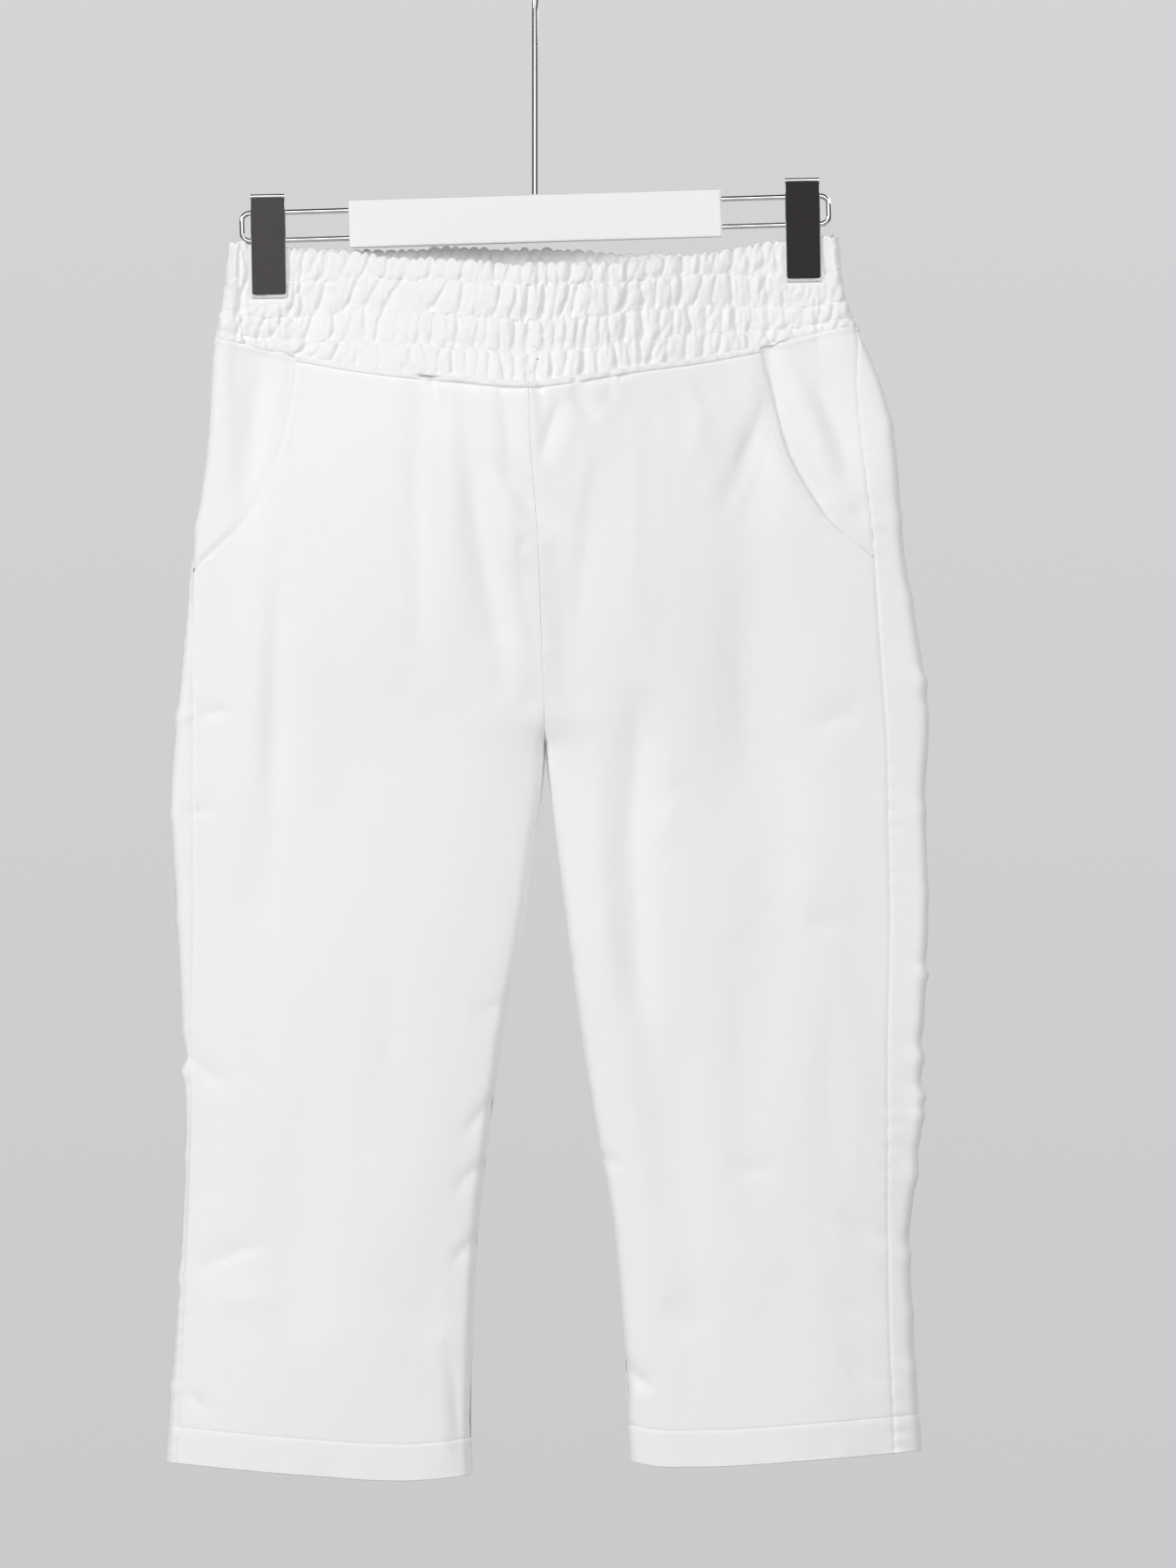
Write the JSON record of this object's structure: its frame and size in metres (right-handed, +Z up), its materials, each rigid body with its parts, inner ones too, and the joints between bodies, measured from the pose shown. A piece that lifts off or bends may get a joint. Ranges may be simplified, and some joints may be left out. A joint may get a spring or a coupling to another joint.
{
  "type": "capri pants on a clip hanger",
  "caption": "Straight-cut white capri pants with a gathered elastic waistband and curved side pockets, hung by the waist from a metal clip hanger.",
  "frame": {"origin": "inner crest of the hook, where it sits on its rail", "axes": "+Z up along the hook's rod, -Y the way the front of the pants faces, +X to the right seen from the front, which is the wearer's left"},
  "size_m": [0.4872, 0.0706, 1.0001],
  "materials": {
    "cloth": "white cotton poplin with a faint satin sheen",
    "bar": "smooth satin white",
    "chrome": "polished",
    "clip_face": "dark satin enamel"
  },
  "bodies": {
    "root": {"front_panel_right": "cloth", "front_panel_left": "cloth", "back_panel_right": "cloth", "back_panel_left": "cloth", "pocket_facing_right": "cloth", "pocket_facing_left": "cloth", "waistband_front": "cloth", "waistband_back": "cloth", "hanger_block": "bar", "hanger_rod": "chrome", "hanger_wire_right": "chrome", "hanger_wire_left": "chrome", "clip_frame_right": "chrome", "clip_frame_left": "chrome", "clip_face_right_front": "clip_face", "clip_face_right_back": "clip_face", "clip_face_left_front": "clip_face", "clip_face_left_back": "clip_face"}
  },
  "joints": []
}
